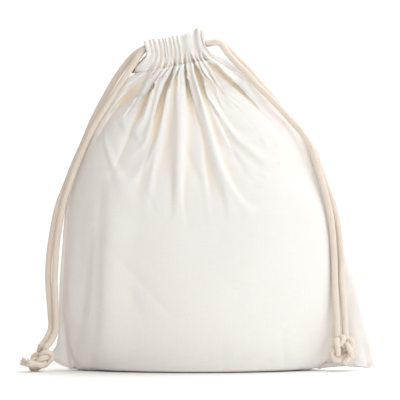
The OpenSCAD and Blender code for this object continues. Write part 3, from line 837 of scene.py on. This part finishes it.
def creased(rows, folds, sign):
    """Sharpens the folds: each valley gets a steep flank on its left and a long soft one on its right."""
    across, up = np.gradient(rows, axis=1), np.gradient(rows, axis=0)
    out = np.cross(across, up)
    out /= np.linalg.norm(out, axis=2)[..., None] * np.sign(-sign)
    count, wide = rows.shape[:2]
    place = np.linspace(0, 1, wide)
    run = np.array([run_along(row) for row in rows])
    below = PANEL_H * np.linspace(1, 0, count)
    dip = np.zeros((count, wide))
    for s, _, depth, length, foot in folds[1:-1]:
        at = s + (foot - s) * np.clip(below / length, 0, 1)
        off = run - np.array([np.interp(a, place, r) for a, r in zip(at, run)])[:, None]
        fade = np.clip(1 - below / length, 0, 1) ** 0.6 * ease(below / 18)
        flank = np.where(off < 0, np.exp(off / STEEP_FLANK), np.exp(-off / SOFT_FLANK))
        dip = np.maximum(dip, FOLD_SHARPNESS * depth * fade[:, None] * flank)
    for (x0, z0), (x1, z1), depth, half in CREASES if sign < 0 else []:
        long = np.array([x1 - x0, z1 - z0])
        from_start = rows[..., (0, 2)] - (x0, z0)
        t = np.clip(from_start @ long / long.dot(long), 0, 1)
        away = np.linalg.norm(from_start - t[..., None] * long, axis=2)
        dip = dip + depth * np.exp(-(away / half) ** 2) * np.sqrt(4 * t * (1 - t))
    if sign > 0:
        fade = ease(below / 15) * ease((110 - below) / 60)
        dip = dip - BACK_SHOULDER * np.exp(-((place - 0.90) / 0.06) ** 2) * fade[:, None]
    hold = ease(np.minimum(place, 1 - place) / 0.04)
    return rows - out * (dip * hold)[..., None]


panel_rows = [creased(finer(calmed(rows)), folds, sign)
              for rows, folds, sign in zip(panel_rows, (FRONT_FOLDS, BACK_FOLDS), (-1, 1))]


def cotton_cloth():
    material, tree, shader = new_material("cotton_cloth", 0.95, 0.25)
    cut = cut_map(tree)
    heights = []
    for turn in ("X", "Y"):
        wave = tree.nodes.new("ShaderNodeTexWave")
        wave.bands_direction = turn
        set_inputs(wave, {"Scale": WAVE_LENGTH / WEAVE_PITCH, "Distortion": 1.2, "Detail Scale": 0.4})
        tree.links.new(cut, wave.inputs["Vector"])
        heights.append(wave.outputs["Fac"])
    weave = mix_node(tree, 0.5, *heights)
    slubs = [drawn_out_noise(tree, cut, stretch, 3)
             for stretch in ((70, 1400, 1), (1400, 70, 1))]
    slub = mix_node(tree, 0.5, *slubs)
    tone = range_node(tree, slub, 0.35, 0.65)
    colour = mix_node(tree, tone, (0.825, 0.80, 0.77, 1), CLOTH_COLOUR)
    wash = range_node(tree, noise_node(tree, cut, 14), 0.3, 0.7, 0.0, 0.3)
    colour = mix_node(tree, wash, colour, (0.89, 0.872, 0.845, 1))
    nep = range_node(tree, noise_node(tree, cut, 420, 1), 0.74, 0.80, 0.0, 0.35)
    colour = mix_node(tree, nep, colour, (0.66, 0.56, 0.43, 1))
    # Painted shade in the folds, stronger the deeper a point lies below the cloth round it
    shade = range_node(tree, point_value(tree, "fold_depth"), 0.2, 2.5, 0.0, 0.8)
    colour = mix_node(tree, shade, colour, FOLD_SHADE_COLOUR)
    tree.links.new(colour, shader.inputs["Base Color"])
    add_bump(tree, shader, mix_node(tree, 0.45, weave, slub), 0.22, 0.00025)
    return material


COTTON = cotton_cloth()


def cloth_object(name, rows, cut_x, cut_y, flip, thickness, levels, window, side):
    """Rows of points as cloth with a thickness, which knows how deep each point lies in a fold, for the
    painted shade there.
    """
    count, wide = rows.shape[:2]
    depth = np.abs(rows[..., 1])
    hollow = averaged(depth, window) - depth
    hollow = hollow * ease(np.minimum(np.linspace(0, 1, wide), np.linspace(1, 0, wide)) / 0.06 - 0.6)
    faces, wrap = [], []
    for r in range(count - 1):
        for c in range(wide - 1):
            quad = [(r, c), (r, c + 1), (r + 1, c + 1), (r + 1, c)]
            quad = quad[::-1] if flip else quad
            faces.append([i * wide + j for i, j in quad])
            wrap += [(cut_x[j] * MM, cut_y[i] * MM) for i, j in quad]
    obj = add_object(name, rows.reshape(-1, 3), faces, COTTON, wrap, hollow.ravel(), "fold_depth")
    thick = obj.modifiers.new("thickness", "SOLIDIFY")
    thick.thickness = thickness * MM
    thick.offset = side
    thick.use_even_offset = False
    if levels:
        smooth = obj.modifiers.new("smooth", "SUBSURF")
        smooth.levels = smooth.render_levels = levels
    return obj


cut_x = np.linspace(-0.5, 0.5, 2 * PANEL_COLS + 1) * PANEL_W
cut_y = np.linspace(0, PANEL_H, 2 * PANEL_ROWS + 1)
for k, name in enumerate(("front_panel", "back_panel")):
    obj = cloth_object(name + "_cloth", panel_rows[k], cut_x, cut_y + BACK_CUT_AT * k, k == 1, CLOTH,
                       levels=0, window=7, side=1)
    fixed_to(plain(obj), "sack", name)

# Seam allowances
# The raw edges of the two panels, overlocked together and standing inward from the side and bottom seams.
SEAM_W, SEAM_THICK = 9.0, 1.4


def allowance(name, edge, inward):
    rows = np.array([edge + inward * w for w in (1.0, 3.5, 6.5, SEAM_W)])
    wave = 0.5 * np.sin(np.arange(len(edge)) * 0.9)
    rows[2, :, 1] += wave
    rows[3, :, 1] += 1.6 * wave
    run, depth = np.arange(len(edge)) * 3.4, np.array([0, 2.5, 5.5, 8]) + SEAM_CUT_AT
    obj = cloth_object(name + "_allowance", rows, run, depth, False, SEAM_THICK, levels=1, window=1, side=-1)
    fixed_to(plain(obj), "sack", name)


for name, c, into in (("left_side_seam", 0, 1), ("right_side_seam", -1, -1)):
    allowance(name, panel_rows[0][16:-24:2, c], np.array([into, 0.0, 0]))
allowance("bottom_seam", panel_rows[0][0, 16:-16:2] + (0, 0, 0.8), np.array([0, 0, 1.0]))

# Casings
# The top hem of each panel, folded inside and stitched down, with the cords running in it. Drawing the cords
# packs it into tight pleats; it is open at both ends.
# Each pleat: its share across the cloth, its share along the cords and its depth
FRONT_PLEATS = [(0, 0, 0), (0.05, 0.06, 1.5), (0.10, 0.11, 3), (0.15, 0.19, 2), (0.20, 0.26, 3),
                (0.25, 0.32, 2), (0.30, 0.38, 2.5), (0.36, 0.44, 3), (0.43, 0.52, 2.5), (0.51, 0.595, 4),
                (0.79, 0.84, 5), (0.94, 0.975, 3), (1, 1, 0)]
BACK_PLEATS = [(0, 0, 0), (0.05, 0.06, 2.5), (0.09, 0.11, 4), (0.15, 0.17, 3), (0.20, 0.22, 4.5),
               (0.265, 0.29, 3), (0.33, 0.35, 5), (0.40, 0.41, 3), (0.47, 0.47, 4.5), (0.53, 0.54, 2.5),
               (0.59, 0.61, 5), (0.66, 0.66, 3), (0.72, 0.71, 4.5), (0.78, 0.78, 2.5), (0.83, 0.85, 4.5),
               (0.88, 0.90, 2.5), (0.93, 0.94, 3.5), (1, 1, 0)]
CASING_TOP, CASING_COLS = 26.0, 160
casing_share = np.linspace(0, 1, CASING_COLS + 1)
casings = []
for k, (name, folds, pleats, sign) in enumerate((("front_casing", FRONT_FOLDS, FRONT_PLEATS, -1),
                                                 ("back_casing", BACK_FOLDS, BACK_PLEATS, 1))):
    ring = panel_rows[k][-1]
    joint = np.stack([np.interp(casing_share, np.linspace(0, 1, len(ring)), ring[:, a]) for a in range(3)], 1)
    joint_out = np.abs(joint[:, 1])
    seam_along, cord_along = along_neck(casing_share, folds), along_neck(casing_share, pleats)
    pleat = fold_depth(casing_share, [(s, s, d, 1, s) for s, _, d in pleats], 1.4)
    outer = 15.6 + 0.62 * pleat
    inner = 4.4 + 0.22 * pleat
    rim = 0.8 * np.array([noise.noise(Vector((9 * s, 3.1 + k, 0))) for s in casing_share])
    if k == 0:
        rim += np.interp(cord_along, [-1, -0.8, -0.3, 0.3, 0.6, 0.85, 1], [1, 1.5, 0.3, 0.2, 2, 4, 1.5])
    # Height, distance out and half width, up the outside of the hem, over its rim and down the inside
    rows = []
    for up, out, half in (
            (0.0, joint_out, NECK_HALF), (2.5, 0.80 * joint_out + 0.20 * outer, 32.8),
            (5.0, 0.52 * joint_out + 0.48 * outer, 30.0), (7.5, 0.22 * joint_out + 0.78 * outer, 27.6),
            (10.0, 0.05 * joint_out + 0.95 * outer, 25.6), (12.5, outer, 24.4), (15.5, outer + 0.2, 24.0),
            (18.5, outer + 0.2, 24.0), (21.0, outer - 0.2, 24.3), (23.3, outer - 1.2, 24.8),
            (25.0, outer - 3.0, 25.2), (CASING_TOP, (outer + inner) / 2 + 0.6, 25.3),
            (25.0, inner + 2.6, 25.2), (23.0, inner + 0.9, 24.8), (20.0, inner + 0.2, 24.2),
            (15.0, inner, 24.0), (10.0, inner, 25.4),
            (5.0, 0.5 * inner + 0.5 * np.maximum(joint_out - 2, 1.2), 30.0),
            (0.8, np.maximum(joint_out - 2, 1.0), 34.5)):
        top = ease((up - 18) / 8)
        rise = up + top * (rim + 0.12 * pleat)
        x = (seam_along + (cord_along - seam_along) * ease(up / 12)) * half
        stray = np.array([noise.noise(Vector((13 * s, 0.1 * up, 5.3 + k))) for s in casing_share])
        x = x + 1.1 * ease(up / 6) * stray
        left_end = ease((0.1 - casing_share) / 0.1)
        if sign < 0:
            x = x - (2.5 * ease(up / 20) + 9 * math.exp(-((up - 5) / 6) ** 2)) * left_end
        else:
            x = x - 11 * math.exp(-((up - 5) / 9) ** 2) * left_end
        rows.append(NECK + x[:, None] * NECK_ALONG + rise[:, None] * NECK_UP
                    + np.stack([0 * x, sign * out, 0 * x], 1))
    rows = np.array(rows)
    rows[0] = joint
    cut_y = PANEL_H + BACK_CUT_AT * k + run_along(rows[:, CASING_COLS // 2])
    cut_x = (casing_share - 0.5) * PANEL_W
    obj = cloth_object(name + "_cloth", rows, cut_x, cut_y, k == 1, CLOTH, levels=2, window=5, side=-1)
    casings.append(fixed_to(plain(obj), "sack", name))

# Casing stitches
# One row of lockstitch in cream thread holds down the hem of each casing, just above the gathers.
STITCH_COLOUR = (0.86, 0.82, 0.74, 1)
STITCH_PITCH, STITCH_LENGTH, THREAD_D = 0.0030, 0.0026, 0.0006
STITCH_UP = 3.2


def sewing_thread():
    material, tree, shader = new_material("sewing_thread", 0.8, 0.3)
    place = tree.nodes.new("ShaderNodeTexCoord").outputs["Object"]
    tone = range_node(tree, noise_node(tree, place, 900), 0.3, 0.7)
    colour = mix_node(tree, tone, (0.74, 0.68, 0.58, 1), STITCH_COLOUR)
    tree.links.new(colour, shader.inputs["Base Color"])
    return material


THREAD = sewing_thread()


def stitch_tree():
    """Geometry Nodes that set one stitch after another along a line."""
    tree, sockets = new_tree("stitch_row", "Line", {"Pitch": "Float", "Stitch length": "Float",
                                                    "Thread": "Float"}, "Stitches")
    new = tree.nodes.new
    start, end = new("NodeGroupInput"), new("NodeGroupOutput")
    curve, spaced = new("GeometryNodeMeshToCurve"), new("GeometryNodeResampleCurve")
    spaced.mode = "LENGTH"
    ball, size = new("GeometryNodeMeshUVSphere"), new("ShaderNodeCombineXYZ")
    set_inputs(ball, {"Segments": 8, "Rings": 6, "Radius": 0.5})
    tangent, aim = new("GeometryNodeInputTangent"), new("FunctionNodeAlignRotationToVector")
    aim.axis = "X"
    place, real, paint = (new("GeometryNodeInstanceOnPoints"), new("GeometryNodeRealizeInstances"),
                          new("GeometryNodeSetMaterial"))
    set_inputs(paint, {"Material": THREAD})
    join_nodes(tree, (
        (start, "Line", curve, "Mesh"), (curve, "Curve", spaced, "Curve"), (start, "Pitch", spaced, "Length"),
        (start, "Stitch length", size, "X"), (start, "Thread", size, "Y"), (start, "Thread", size, "Z"),
        (tangent, "Tangent", aim, "Vector"), (spaced, "Curve", place, "Points"),
        (ball, "Mesh", place, "Instance"), (aim, "Rotation", place, "Rotation"),
        (size, "Vector", place, "Scale"),
        (place, "Instances", real, "Geometry"), (real, "Geometry", paint, "Geometry"),
        (paint, "Geometry", end, "Stitches")))
    return tree, sockets


STITCHES, STITCH_SOCKETS = stitch_tree()
for k, name in enumerate(("front_casing_stitch", "back_casing_stitch")):
    mesh = casings[k].data
    skin = BVHTree.FromPolygons([v.co for v in mesh.vertices], [p.vertices for p in mesh.polygons])
    sign = -1 if k == 0 else 1
    line = []
    for a in np.linspace(-NECK_HALF + 4, NECK_HALF - 4, 300):
        start = neck_point(a, sign * 40, STITCH_UP) * MM
        hit = skin.ray_cast(Vector(start), Vector((0, -sign, 0)))
        if hit[0] is not None:
            line.append(hit[0] + hit[1] * 0.0001)
    row = new_mesh(name, line, [], [(i, i + 1) for i in range(len(line) - 1)])
    obj = grown(linked(name + "_thread", row), STITCHES, STITCH_SOCKETS,
                {"Pitch": STITCH_PITCH, "Stitch length": STITCH_LENGTH, "Thread": THREAD_D})
    fixed_to(obj, "sack", name)

# Studio
# A pale paper floor, white surroundings that are dim and warm on the left above the floor, and large
# soft lights from the front and from above.
FLOOR_COLOUR = (0.96, 0.96, 0.955, 1)
FLOOR_HALF = 1.3
LIGHTS_AIM = Vector((0, 0, 0.13))
DIM, BRIGHT = 0.05, 1.1
WARM, WHITE = (1.0, 0.64, 0.38, 1), (1, 1, 1, 1)
corners = [(FLOOR_HALF * x, FLOOR_HALF * y, 0) for x, y in ((-1, -1), (1, -1), (1, 1), (-1, 1))]
floor = linked("floor", new_mesh("floor", corners, [(0, 1, 2, 3)]))
paper, tree, shader = new_material("studio_paper", 0.95, 0.0)
place = tree.nodes.new("ShaderNodeTexCoord").outputs["Object"]
grain = range_node(tree, noise_node(tree, place, 40), 0, 1)
tree.links.new(mix_node(tree, grain, (0.95, 0.95, 0.945, 1), FLOOR_COLOUR), shader.inputs["Base Color"])
floor.data.materials.append(paper)

world = bpy.data.worlds.new("surroundings")
bpy.context.scene.world = world
world.use_nodes = True
tree = world.node_tree
split = tree.nodes.new("ShaderNodeSeparateXYZ")
tree.links.new(tree.nodes.new("ShaderNodeTexCoord").outputs["Generated"], split.inputs[0])
either = tree.nodes.new("ShaderNodeMath")
either.operation = "MAXIMUM"
tree.links.new(range_node(tree, split.outputs["X"], -0.42, -0.07), either.inputs[0])
tree.links.new(range_node(tree, split.outputs["Z"], 0.0, -0.03), either.inputs[1])
glow = either.outputs["Value"]
tree.links.new(range_node(tree, glow, 0, 1, DIM, BRIGHT), tree.nodes["Background"].inputs["Strength"])
tint = mix_node(tree, glow, WARM, WHITE)
tree.links.new(tint, tree.nodes["Background"].inputs["Color"])


def soft_light(name, place, size, power, colour):
    light = bpy.data.lights.new(name, "AREA")
    light.shape = "SQUARE"
    light.size = size
    light.energy = power
    light.color = colour
    obj = linked(name, light)
    obj.location = place
    obj.rotation_euler = (LIGHTS_AIM - Vector(place)).to_track_quat("-Z", "Y").to_euler()


soft_light("key", (0.25, -2.1, 0.9), 1.0, 5, (1.0, 0.99, 0.98))
soft_light("top", (0.2, 0.5, 2.4), 1.6, 34, (1.0, 1.0, 1.0))
bpy.context.scene.view_settings.view_transform = "Standard"
